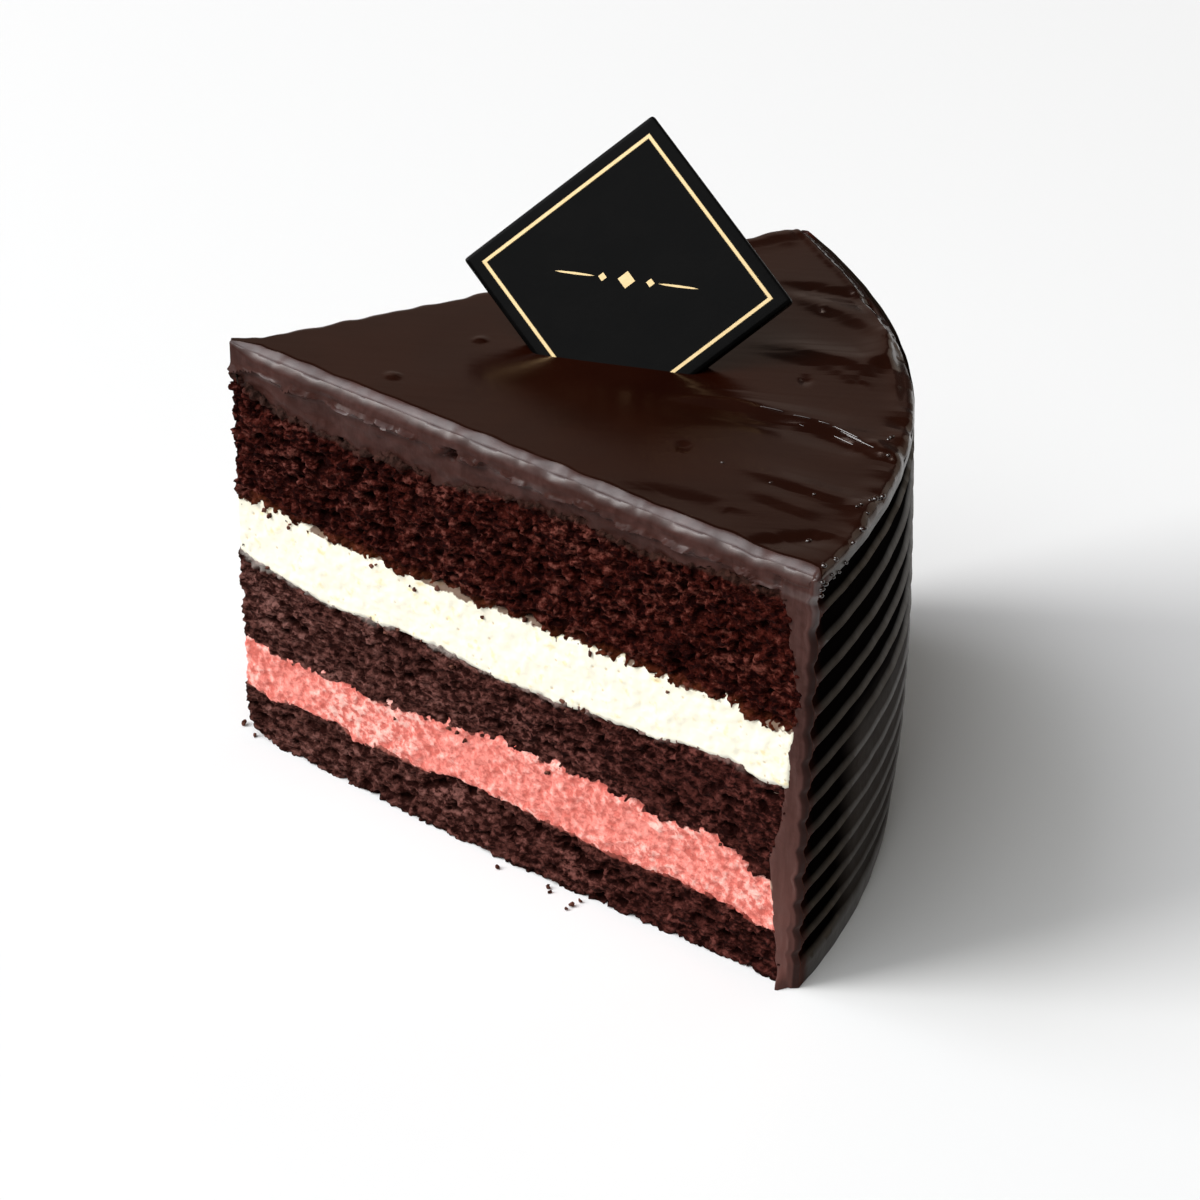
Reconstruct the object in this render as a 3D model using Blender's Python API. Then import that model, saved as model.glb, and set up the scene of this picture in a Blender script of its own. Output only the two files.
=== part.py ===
"""One slice of a round chocolate layer cake, a sixth of it, standing as it was cut.

From below it has a sponge, a pink cream, a second sponge, a white cream, a third sponge, and a ganache
that covers the top and the combed rim. A square chocolate plaque stands on one corner in the top.

The plan is polar: the tip of the slice is the pole, the line that halves its angle is +X, and the cut at
the negative angle is the front one. Everything is modelled round the pole, and an empty then moves it so
that the origin is the middle of the footprint, on the surface that the slice stands on.
"""
import math

import bmesh
import bpy
import numpy as np
from mathutils import Matrix, Vector, noise

# The slice
HALF_ANGLE = math.radians(30.0)
RIM_RADIUS = 0.0988
RIM_CENTRE = Vector((0.0023, -0.0088))
HEIGHT = 0.0715
TIP_BLUNT = 0.0012
GAP = 0.0003
SHARP_ANGLE = math.radians(40.0)

# The ganache: its thickness at the rim and inside the top, its rounded edge, how far the rim bulges past
# the circle at its ends and half-way up, and its comb marks, which are hollow flutes with sharp ridges
# between them, each given by four rows: part of a pitch, depth
COAT = 0.0056
TOP_UNDERSIDE = 0.0655
TOP_EDGE_ROUND = 0.0012
TOP_EDGE_SCALE = 0.962
BULGE_ENDS = 0.0009
BULGE_MIDDLE = 0.0018
BULGE_SKEW = 0.7
COMB_MARKS = 12
COMB_LOWEST = 0.006
COMB_PITCH = 0.0044
COMB_PITCH_GROWTH = 0.000062
COMB_DEPTH = 0.0011
COMB_ROWS = ((0.0, 1.0), (0.25, 0.75), (0.5, 0.0), (0.75, 0.75))
GLAZE_RELIEF = 0.0003

# The heights of the joints between layers along a cut: distance from the tip, height
PINK_LOW = ((0.0, 0.0098), (0.018, 0.0102), (0.024, 0.0084), (0.045, 0.0102), (0.073, 0.009), (0.105, 0.0096))
PINK_HIGH = ((0.0, 0.0184), (0.025, 0.0179), (0.048, 0.0202), (0.064, 0.021), (0.088, 0.0204), (0.105, 0.0168))
WHITE_LOW = ((0.0, 0.035), (0.016, 0.032), (0.04, 0.033), (0.055, 0.032), (0.075, 0.0333), (0.105, 0.0352))
WHITE_HIGH = ((0.0, 0.0446), (0.008, 0.0452), (0.02, 0.0437), (0.06, 0.0435), (0.085, 0.0447), (0.105, 0.0454))
GANACHE_LOW = ((0.0, 0.0656), (0.012, 0.062), (0.028, 0.061), (0.045, 0.0623), (0.062, 0.0642), (0.105, 0.0655))

# The cut faces: crumb relief, the flare of the foot of the front cut, and the worn lower end of the tip
CRUMB_RELIEF = 0.0005
CRUMB_SIZE = 0.003
CREAM_RELIEF = 0.0002
FOOT_FLARE = 0.0016
FOOT_HEIGHT = 0.009
TIP_WEAR = 0.003
TIP_WEAR_HEIGHT = 0.004

# How finely the outline is divided, how large the flat middle of each layer is, and how far the shape
# that hollows the ganache runs out past it
CUT_STEPS = 24
LAYER_RIM_STEPS = 8
COAT_RIM_STEPS = 24
MIDDLE = Vector((0.060, -0.002))
MIDDLE_SCALE = 0.84
CUTTER_PAST = 0.004

# Strokes of the spatula in the top, in plan: start, end, half width, height (a groove is negative)
STROKES = (
    ((0.080, 0.0270), (0.0945, 0.0245), 0.0016, -0.0010),
    ((0.081, 0.0250), (0.0975, 0.0120), 0.0022, 0.0007),
    ((0.076, 0.0088), (0.0965, 0.0030), 0.0024, 0.0008),
    ((0.063, -0.0079), (0.0975, -0.0200), 0.0020, 0.0008),
    ((0.078, -0.0260), (0.0970, -0.0350), 0.0020, 0.0006),
    ((0.080, -0.0452), (0.0900, -0.0428), 0.0010, -0.0005),
    ((0.074, 0.0405), (0.0870, 0.0385), 0.0016, 0.0012),
)

# The plaque: a square plate on one corner, turned about the vertical and leaning back
PLAQUE_SIDE = 0.035
PLAQUE_THICKNESS = 0.0022
PLAQUE_BEVEL = 0.0005
PLAQUE_CENTRE = Vector((0.0588, 0.0076, 0.0814))
PLAQUE_YAW = math.radians(-7.4)
PLAQUE_LEAN = math.radians(38.0)

# The outward direction of each cut in plan
CUT_NORMALS = {
    "front": Vector((-math.sin(HALF_ANGLE), -math.cos(HALF_ANGLE))),
    "back": Vector((-math.sin(HALF_ANGLE), math.cos(HALF_ANGLE))),
}


def rim_distance(angle, inset=0.0):
    """Returns how far the rim lies from the tip in a direction, or a circle inside the rim."""
    direction = Vector((math.cos(angle), math.sin(angle)))
    along = RIM_CENTRE.dot(direction)
    return along + math.sqrt(along ** 2 - RIM_CENTRE.length_squared + (RIM_RADIUS - inset) ** 2)


def plan_point(angle, distance):
    """Returns the point of the plan at an angle and a distance from the tip."""
    return Vector((math.cos(angle), math.sin(angle))) * distance


def outline(rim_steps, inset, tip):
    """Returns the outline's points, each with the side that it lies on: front, rim, back or tip."""
    front_end, back_end = rim_distance(-HALF_ANGLE, inset), rim_distance(HALF_ANGLE, inset)
    points = []
    for step in range(1, CUT_STEPS + 1):
        points.append((plan_point(-HALF_ANGLE, front_end * step / CUT_STEPS), "front"))
    for step in range(1, rim_steps):
        angle = HALF_ANGLE * (2 * step / rim_steps - 1)
        points.append((plan_point(angle, rim_distance(angle, inset)), "rim"))
    for step in range(CUT_STEPS, 0, -1):
        points.append((plan_point(HALF_ANGLE, back_end * step / CUT_STEPS), "back"))
    points.append((Vector((tip, 0.0)), "tip"))
    return points


def joint_height(heights, point):
    """Returns the height of the joint between two layers where it meets the cut nearest to a point."""
    distances, levels = zip(*heights)
    distance = point.length if point.y < 0 else rim_distance(-HALF_ANGLE) - point.length
    return float(np.interp(distance, distances, levels))


def mean_height(heights):
    """Returns the height of a joint in the flat middle of the slice."""
    return sum(level for _, level in heights) / len(heights)


def middle(point):
    """Returns the point of the flat middle's edge that belongs to a point of the outline."""
    return MIDDLE + (point - MIDDLE) * MIDDLE_SCALE


def add_loop(bm, points, heights):
    """Adds one ring of vertices."""
    return [bm.verts.new((p.x, p.y, z)) for p, z in zip(points, heights)]


def join_loops(bm, outer, inner):
    """Joins two rings by triangles, each quad split from the outer ring to the next inner vertex."""
    for i in range(len(outer)):
        j = (i + 1) % len(outer)
        bm.faces.new((outer[i], outer[j], inner[j]))
        bm.faces.new((outer[i], inner[j], inner[i]))


def finish(bm, name, material, parent):
    """Turns a closed bmesh into an object with one material."""
    bmesh.ops.recalc_face_normals(bm, faces=bm.faces)
    mesh = bpy.data.meshes.new(name)
    bm.to_mesh(mesh)
    bm.free()
    mesh.shade_smooth()
    mesh.set_sharp_from_angle(angle=SHARP_ANGLE)
    mesh.materials.append(material)
    piece = bpy.data.objects.new(name, mesh)
    bpy.context.scene.collection.objects.link(piece)
    piece.parent = parent
    return piece


def principled(name, colour, roughness, metallic=0.0):
    """Returns a plain material."""
    material = bpy.data.materials.new(name)
    material.use_nodes = True
    shader = material.node_tree.nodes["Principled BSDF"]
    shader.inputs["Base Color"].default_value = (*colour, 1.0)
    shader.inputs["Roughness"].default_value = roughness
    shader.inputs["Metallic"].default_value = metallic
    return material


def crumb(point, height, depth):
    """Returns how far the crumb stands out of a cut at a point, fading to nothing at the rim."""
    end = rim_distance(math.copysign(HALF_ANGLE, point.y), COAT + GAP)
    fade = min(1.0, (end - point.length) / CRUMB_SIZE)
    return fade * depth * noise.noise(Vector((point.x, point.y, height)) / CRUMB_SIZE)


def foot(point, height):
    """Returns how far the foot of the front cut flares out."""
    if height > FOOT_HEIGHT:
        return 0.0
    along = point.length / rim_distance(-HALF_ANGLE, COAT)
    return FOOT_FLARE * math.sin(math.pi * along) ** 2 * (1 - height / FOOT_HEIGHT)


def layer(name, material, parent, low, high, rows, depth):
    """Adds one sponge or cream: cut faces with relief, a smooth rim, and flat middles above and below."""
    places = outline(LAYER_RIM_STEPS, COAT + GAP, TIP_BLUNT)
    plan = [point for point, _ in places]
    bottom = [joint_height(low, p) + GAP / 2 if low else 0.0 for p in plan]
    top = [joint_height(high, p) - GAP / 2 for p in plan]
    bm = bmesh.new()
    loops = []
    for row in range(rows + 1):
        part = row / rows
        heights = [b + (t - b) * part for b, t in zip(bottom, top)]
        points = []
        for (point, side), z in zip(places, heights):
            moved = point.copy()
            if side in CUT_NORMALS:
                moved += CUT_NORMALS[side] * crumb(point, z, depth)
            if side == "front":
                moved += CUT_NORMALS[side] * foot(point, z)
            if side == "tip":
                moved.x += TIP_WEAR * max(0.0, 1 - z / TIP_WEAR_HEIGHT)
            points.append(moved)
        loops.append(add_loop(bm, points, heights))
    for lower, upper in zip(loops, loops[1:]):
        join_loops(bm, lower, upper)
    inner = [middle(p) for p in plan]
    under = mean_height(low) + GAP / 2 if low else 0.0
    over = (TOP_UNDERSIDE if high is GANACHE_LOW else mean_height(high)) - GAP / 2
    for edge, level in ((loops[0], under), (loops[-1], over)):
        ring = add_loop(bm, inner, [level] * len(inner))
        join_loops(bm, edge, ring)
        bm.faces.new(ring)
    return finish(bm, name, material, parent)


def comb_mark(number):
    """Returns the height of a groove of the comb. The pitch grows a little towards the top."""
    return COMB_LOWEST + number * COMB_PITCH + number * number * COMB_PITCH_GROWTH


def comb_rows():
    """Returns the rim's rows, each a height and a depth, from the foot to the rounded top edge."""
    rows = [(0.0, COMB_DEPTH), (COMB_LOWEST / 2, 0.0)]
    for number in range(COMB_MARKS):
        pitch = comb_mark(number + 1) - comb_mark(number)
        for part, depth in COMB_ROWS:
            rows.append((comb_mark(number) + pitch * part, COMB_DEPTH * depth))
    return rows + [(HEIGHT - TOP_EDGE_ROUND, 0.0)]


def bulge(point, height):
    """Returns how far the rim bulges past the circle, which is most in the middle between the cuts."""
    angle = math.atan2(point.y, point.x)
    across = math.cos(angle / HALF_ANGLE * math.pi / 2) ** 2
    return across * (BULGE_ENDS + BULGE_MIDDLE * math.sin(math.pi * (height / HEIGHT) ** BULGE_SKEW))


def stroke_height(point):
    """Returns the relief of the spatula's strokes at a point of the top."""
    height = 0.0
    for start, end, half_width, size in STROKES:
        start, end = Vector(start), Vector(end)
        along = max(0.0, min(1.0, (point - start).dot(end - start) / (end - start).length_squared))
        away = (point - start.lerp(end, along)).length
        height += size * math.exp(-((away / half_width) ** 2)) * min(1.0, 0.3 + along)
    return height


def full_slice():
    """Returns the bmesh of the whole slice with the comb marks in its rim and the strokes in its top."""
    places = outline(COAT_RIM_STEPS, 0.0, 0.0)
    plan = [point for point, _ in places]
    corners = (CUT_STEPS - 1, CUT_STEPS - 1 + COAT_RIM_STEPS)
    bm = bmesh.new()
    loops = []
    for z, depth in comb_rows():
        points = []
        for i, (point, side) in enumerate(places):
            moved = point.copy()
            if corners[0] <= i <= corners[1]:
                moved += point.normalized() * (bulge(point, z) - depth)
            elif side in CUT_NORMALS:
                moved += CUT_NORMALS[side] * crumb(point, z, GLAZE_RELIEF)
            points.append(moved)
        loops.append(add_loop(bm, points, [z] * len(points)))
    for lower, upper in zip(loops, loops[1:]):
        join_loops(bm, lower, upper)
    bm.faces.new(loops[0])

    grid = {}
    for row in range(1, CUT_STEPS + 1):
        for column in range(COAT_RIM_STEPS + 1):
            angle = HALF_ANGLE * (2 * column / COAT_RIM_STEPS - 1)
            point = plan_point(angle, rim_distance(angle) * row / CUT_STEPS)
            point = MIDDLE + (point - MIDDLE) * TOP_EDGE_SCALE
            grid[row, column] = bm.verts.new((point.x, point.y, HEIGHT + stroke_height(point)))
    tip = MIDDLE - MIDDLE * TOP_EDGE_SCALE
    tip = bm.verts.new((tip.x, tip.y, HEIGHT))
    for column in range(COAT_RIM_STEPS):
        bm.faces.new((tip, grid[1, column], grid[1, column + 1]))
        for row in range(1, CUT_STEPS):
            bm.faces.new((grid[row, column], grid[row + 1, column], grid[row + 1, column + 1]))
            bm.faces.new((grid[row, column], grid[row + 1, column + 1], grid[row, column + 1]))
    edge = [grid[row, 0] for row in range(1, CUT_STEPS + 1)]
    edge += [grid[CUT_STEPS, column] for column in range(1, COAT_RIM_STEPS)]
    edge += [grid[row, COAT_RIM_STEPS] for row in range(CUT_STEPS, 0, -1)] + [tip]
    join_loops(bm, loops[-1], edge)
    return bm


def stack_cutter():
    """Returns the bmesh of the layers' space, which runs out past both cuts and below the base."""
    places = outline(LAYER_RIM_STEPS, COAT + GAP, TIP_BLUNT)
    plan = [point for point, _ in places]
    far_places = outline(LAYER_RIM_STEPS, COAT, -CUTTER_PAST / math.sin(HALF_ANGLE))
    wide_plan = [far for far, _ in far_places]
    for i, (far, side) in enumerate(far_places):
        if side in CUT_NORMALS:
            wide_plan[i] = far + CUT_NORMALS[side] * CUTTER_PAST
    front_end = CUT_STEPS - 1
    back_end = front_end + LAYER_RIM_STEPS
    for corner, neighbour in ((front_end, front_end + 1), (back_end, back_end - 1)):
        far, side = far_places[corner]
        along = (far - far_places[neighbour][0]).normalized()
        wide_plan[corner] = far + along * (CUTTER_PAST / along.dot(CUT_NORMALS[side]))
    heights = [joint_height(GANACHE_LOW, p) + GAP / 2 for p in plan]
    bm = bmesh.new()
    ring = add_loop(bm, [middle(p) for p in plan], [TOP_UNDERSIDE + GAP / 2] * len(plan))
    edge = add_loop(bm, plan, heights)
    wide = add_loop(bm, wide_plan, heights)
    base = add_loop(bm, wide_plan, [-CUTTER_PAST] * len(plan))
    bm.faces.new(ring)
    join_loops(bm, edge, ring)
    join_loops(bm, wide, edge)
    join_loops(bm, base, wide)
    bm.faces.new(base)
    return bm


def plaque_shape(name, material, parent, clearance, bevel):
    """Adds the plaque, or a box round it with a clearance, standing on its lower corner."""
    bm = bmesh.new()
    bmesh.ops.create_cube(bm, size=1.0)
    side = PLAQUE_SIDE + 2 * clearance
    thickness = PLAQUE_THICKNESS + 2 * clearance
    bmesh.ops.scale(bm, vec=(side, thickness, side), verts=bm.verts)
    bmesh.ops.translate(bm, vec=(0.0, PLAQUE_THICKNESS / 2, 0.0), verts=bm.verts)
    if bevel:
        bmesh.ops.bevel(bm, geom=bm.edges, offset=bevel, segments=1, affect="EDGES", profile=0.5)
    piece = finish(bm, name, material, parent)
    turn = Matrix.Rotation(PLAQUE_YAW, 4, "Z") @ Matrix.Rotation(-PLAQUE_LEAN, 4, "X")
    turn = turn @ Matrix.Rotation(math.radians(45.0), 4, "Y")
    piece.matrix_local = Matrix.Translation(PLAQUE_CENTRE) @ turn
    return piece


def cut(piece, cutter):
    """Cuts a piece with a cutter, which stays in the scene as a guide only."""
    cutter.hide_render = True
    cutter.display_type = "WIRE"
    modifier = piece.modifiers.new(f"cut by {cutter.name}", "BOOLEAN")
    modifier.operation = "DIFFERENCE"
    modifier.object = cutter


for old in list(bpy.data.objects):
    bpy.data.objects.remove(old, do_unlink=True)

slice_place = bpy.data.objects.new("slice_place", None)
bpy.context.scene.collection.objects.link(slice_place)

sponge = principled("sponge", (0.036, 0.0125, 0.0095), 0.9)
dark_sponge = principled("dark_sponge", (0.046, 0.020, 0.017), 0.9)
pink_cream = principled("pink_cream", (0.75, 0.235, 0.20), 0.6)
white_cream = principled("white_cream", (0.86, 0.81, 0.66), 0.6)
ganache = principled("ganache", (0.022, 0.0075, 0.0045), 0.3)
black_chocolate = principled("black_chocolate", (0.0045, 0.0045, 0.0045), 0.4)

layer("sponge_bottom", dark_sponge, slice_place, None, PINK_LOW, 3, CRUMB_RELIEF)
layer("cream_pink", pink_cream, slice_place, PINK_LOW, PINK_HIGH, 3, CREAM_RELIEF)
layer("sponge_middle", dark_sponge, slice_place, PINK_HIGH, WHITE_LOW, 4, CRUMB_RELIEF)
layer("cream_white", white_cream, slice_place, WHITE_LOW, WHITE_HIGH, 3, CREAM_RELIEF)
sponge_top = layer("sponge_top", sponge, slice_place, WHITE_HIGH, GANACHE_LOW, 5, CRUMB_RELIEF)
coat = finish(full_slice(), "ganache", ganache, slice_place)
rim_far = max(vertex.co.x for vertex in coat.data.vertices)
front_corner = plan_point(-HALF_ANGLE, rim_distance(-HALF_ANGLE))
back_corner = plan_point(HALF_ANGLE, rim_distance(HALF_ANGLE))
slice_place.location = (-rim_far / 2, -(front_corner.y + back_corner.y) / 2, 0.0)
plaque_shape("plaque", black_chocolate, slice_place, 0.0, PLAQUE_BEVEL)

layers_space = finish(stack_cutter(), "layers_space", ganache, slice_place)
plaque_space = plaque_shape("plaque_space", ganache, slice_place, GAP, 0.0)
cut(coat, layers_space)
cut(coat, plaque_space)
cut(sponge_top, plaque_space)
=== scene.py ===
"""Looks of a slice of chocolate layer cake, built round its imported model. Metres, +Z up.

The slice stands as it was cut. Its tip points to -X, its combed rim to +X, and its front cut faces -Y.
"""
import math
import random

import bmesh
import bpy
import numpy as np
from mathutils import Matrix, Vector, noise


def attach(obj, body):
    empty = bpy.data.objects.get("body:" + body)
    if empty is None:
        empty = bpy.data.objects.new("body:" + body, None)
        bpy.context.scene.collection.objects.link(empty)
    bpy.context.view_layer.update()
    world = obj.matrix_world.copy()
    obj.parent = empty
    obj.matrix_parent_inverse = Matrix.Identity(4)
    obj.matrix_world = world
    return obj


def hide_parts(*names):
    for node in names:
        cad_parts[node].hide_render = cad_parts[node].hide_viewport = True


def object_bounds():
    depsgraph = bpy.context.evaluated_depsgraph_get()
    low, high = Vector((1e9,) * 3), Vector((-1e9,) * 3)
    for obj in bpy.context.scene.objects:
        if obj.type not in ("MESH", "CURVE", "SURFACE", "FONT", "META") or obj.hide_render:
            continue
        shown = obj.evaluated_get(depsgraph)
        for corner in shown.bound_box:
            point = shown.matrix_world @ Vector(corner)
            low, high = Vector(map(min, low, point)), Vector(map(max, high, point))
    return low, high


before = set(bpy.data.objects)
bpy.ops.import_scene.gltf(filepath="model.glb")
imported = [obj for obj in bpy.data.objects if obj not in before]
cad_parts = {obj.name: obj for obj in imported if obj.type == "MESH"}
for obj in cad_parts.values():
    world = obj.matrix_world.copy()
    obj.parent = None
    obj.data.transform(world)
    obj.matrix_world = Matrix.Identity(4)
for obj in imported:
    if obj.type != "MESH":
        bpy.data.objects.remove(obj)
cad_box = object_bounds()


# The three sponges: dark chocolate crumb, baked as flat discs and cut through with the whole cake.
# The knife tears the crumb, so both cuts are rough, with small lumps, flakes and deep pores, and the
# foot of the front cut spreads a little on the table.
HALF_ANGLE = math.radians(30.0)
RIM_CENTRE = Vector((0.0023, -0.0088, 0.0))
RIM_RADIUS = 0.0988
COAT = 0.0056
# Where the layers end in the front cut and the coat's own cut begins: height, distance from the tip
COAT_EDGE = (
    (0.0, 0.1022), (0.005, 0.1017), (0.017, 0.1000), (0.022, 0.0997), (0.031, 0.1016), (0.040, 0.1018),
    (0.0455, 0.1023), (0.050, 0.1032), (0.055, 0.1019), (0.061, 0.1010), (0.066, 0.0995),
)
# The cuts: how layers lap and spread at the table, how the tip is worn, and how the crumb is torn
OVERLAP = 0.0008
EDGE_RECESS = 0.0012
FOOT_FLARE = 0.0016
FOOT_HEIGHT = 0.009
BACK_BLEND = 0.008
RIM_SIDES = 120
UNEVEN_SIZE = 0.007
UNEVEN_DEPTH = 0.0012
PORE_SMALLEST = 0.00035
PORE_GROWTH = 0.0009
PORE_FLATNESS = 0.6
PORE_DEPTH = 1.3
IN_MILLIMETRES = 1000
TIP_WEAR = 0.003
TIP_WEAR_HEIGHT = 0.004
TIP_WEAR_LENGTH = 0.006
TIP_BLUNT = 0.0012

# Heights of the joints between layers along the front cut: distance from the tip, height
PINK_LOW = (
    (0.0, 0.0098), (0.003, 0.0096), (0.0065, 0.0087), (0.011, 0.0101), (0.020, 0.0101), (0.0225, 0.0083),
    (0.028, 0.0090), (0.037, 0.0088), (0.042, 0.0103), (0.047, 0.0103), (0.056, 0.0098), (0.073, 0.0090),
    (0.083, 0.0099), (0.092, 0.0099), (0.098, 0.0086), (0.105, 0.0098),
)
PINK_HIGH = (
    (0.0, 0.0186), (0.010, 0.0179), (0.025, 0.0179), (0.032, 0.0184), (0.041, 0.0193), (0.048, 0.0203),
    (0.056, 0.0203), (0.063, 0.0210), (0.073, 0.0202), (0.079, 0.0197), (0.088, 0.0208), (0.092, 0.0202),
    (0.097, 0.0169), (0.105, 0.0167),
)
WHITE_LOW = (
    (0.0, 0.0353), (0.004, 0.0340), (0.014, 0.0324), (0.019, 0.0318), (0.028, 0.0325), (0.040, 0.0330),
    (0.051, 0.0319), (0.060, 0.0322), (0.072, 0.0334), (0.079, 0.0336), (0.084, 0.0349), (0.092, 0.0355),
    (0.097, 0.0344), (0.105, 0.0357),
)
WHITE_HIGH = (
    (0.0, 0.0442), (0.007, 0.0455), (0.013, 0.0440), (0.023, 0.0436), (0.053, 0.0437), (0.058, 0.0443),
    (0.061, 0.0434), (0.067, 0.0445), (0.086, 0.0447), (0.093, 0.0458), (0.096, 0.0441), (0.105, 0.0453),
)
GANACHE_LOW = (
    (0.0, 0.0662), (0.004, 0.0642), (0.009, 0.0623), (0.020, 0.0613), (0.026, 0.0608), (0.032, 0.0620),
    (0.040, 0.0615), (0.049, 0.0630), (0.056, 0.0640), (0.068, 0.0646), (0.075, 0.0635), (0.083, 0.0647),
    (0.091, 0.0655), (0.105, 0.0658),
)


def rim_reach(angle, inset=0.0):
    """Returns how far the rim, or a circle inside it, lies from the tip in a direction."""
    along = RIM_CENTRE.x * np.cos(angle) + RIM_CENTRE.y * np.sin(angle)
    return along + np.sqrt(along ** 2 - RIM_CENTRE.length_squared + (RIM_RADIUS - inset) ** 2)


FRONT_REACH = float(rim_reach(-HALF_ANGLE))
BACK_REACH = float(rim_reach(HALF_ANGLE))
TIP = Vector((cad_box[0][0], (FRONT_REACH - BACK_REACH) * math.sin(HALF_ANGLE) / 2, 0.0))
CUT_NORMALS = {side: Vector((-math.sin(HALF_ANGLE), side * math.cos(HALF_ANGLE), 0.0)) for side in (-1, 1)}


def smooth_step(x):
    """Returns 0 below 0 and 1 above 1, with a smooth rise between."""
    x = np.clip(x, 0.0, 1.0)
    return x * x * (3 - 2 * x)


def joint_height(heights, distance, front):
    """Returns the height of a joint at distances from the tip; the back cut has the same joint reversed."""
    distances, levels = zip(*heights)
    ahead = np.interp(distance, distances, levels)
    reversed_joint = np.interp(FRONT_REACH - distance, distances, levels)
    behind = levels[0] + (reversed_joint - levels[0]) * smooth_step(distance / BACK_BLEND)
    return np.where(front, ahead, behind)


def choose(*pieces):
    """Selects these pieces and nothing else, and makes the first one active."""
    bpy.ops.object.select_all(action="DESELECT")
    for piece in pieces:
        piece.select_set(True)
    bpy.context.view_layer.objects.active = pieces[0]


def start_editing(piece):
    """Opens one piece for editing by edges, with nothing selected."""
    choose(piece)
    bpy.ops.object.mode_set(mode="EDIT")
    bpy.ops.mesh.select_mode(type="EDGE")
    bpy.ops.mesh.select_all(action="DESELECT")


def select_edges(piece, test):
    """Selects the edges whose two ends pass a test."""
    bpy.ops.mesh.select_all(action="DESELECT")
    mesh = bmesh.from_edit_mesh(piece.data)
    for edge in mesh.edges:
        edge.select_set(bool(test(edge.verts[0].co, edge.verts[1].co)))
    bmesh.update_edit_mesh(piece.data)


def on_cut(point, side):
    """Tells whether a point lies on the plane of a cut."""
    return abs((point - TIP).dot(CUT_NORMALS[side])) < 1e-6


def wedge_blank(name, cut_steps, rows):
    """Adds a disc, cuts it to a wedge, raises it by one metre and splits the cuts into a fine grid."""
    bpy.ops.object.select_all(action="DESELECT")
    bpy.ops.mesh.primitive_circle_add(vertices=RIM_SIDES, radius=RIM_RADIUS - COAT, fill_type="NGON",
                                      location=TIP + RIM_CENTRE)
    piece = bpy.context.object
    piece.name = piece.data.name = name
    bpy.ops.object.transform_apply(location=True, rotation=False, scale=False)
    start_editing(piece)
    for side in (-1, 1):
        bpy.ops.mesh.select_all(action="SELECT")
        bpy.ops.mesh.bisect(plane_co=TIP, plane_no=CUT_NORMALS[side], clear_outer=True)
    for parts in (4, cut_steps // 4):
        select_edges(piece, lambda a, b: any(on_cut(a, side) and on_cut(b, side) for side in (-1, 1)))
        bpy.ops.mesh.subdivide(number_cuts=parts - 1)
    bpy.ops.mesh.select_all(action="SELECT")
    bpy.ops.mesh.extrude_region_move(TRANSFORM_OT_translate={"value": (0.0, 0.0, 1.0)})
    select_edges(piece, lambda a, b: abs(a.z - b.z) > 0.5)
    bpy.ops.mesh.subdivide(number_cuts=rows - 1)
    bpy.ops.mesh.select_all(action="SELECT")
    bpy.ops.mesh.normals_make_consistent(inside=False)
    bpy.ops.object.mode_set(mode="OBJECT")
    return piece


def read_points(piece):
    """Returns the places of a mesh's vertices as an array."""
    points = np.zeros(len(piece.data.vertices) * 3)
    piece.data.vertices.foreach_get("co", points)
    return points.reshape(-1, 3)


def write_points(piece, points):
    """Moves a mesh's vertices."""
    piece.data.vertices.foreach_set("co", points.ravel())
    piece.data.update()


def store(piece, name, values):
    """Keeps one number for each vertex, for the materials to read. Lengths are kept in millimetres."""
    numbers = piece.data.attributes.new(name, "FLOAT", "POINT")
    numbers.data.foreach_set("value", np.asarray(values, np.float32))


def coat_edge(height, side):
    """Returns how far from the tip the cut layers end and the coat's own cut begins, at each height."""
    heights, distances = zip(*COAT_EDGE)
    return np.interp(height, heights, distances) + float(rim_reach(side * HALF_ANGLE)) - FRONT_REACH


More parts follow.
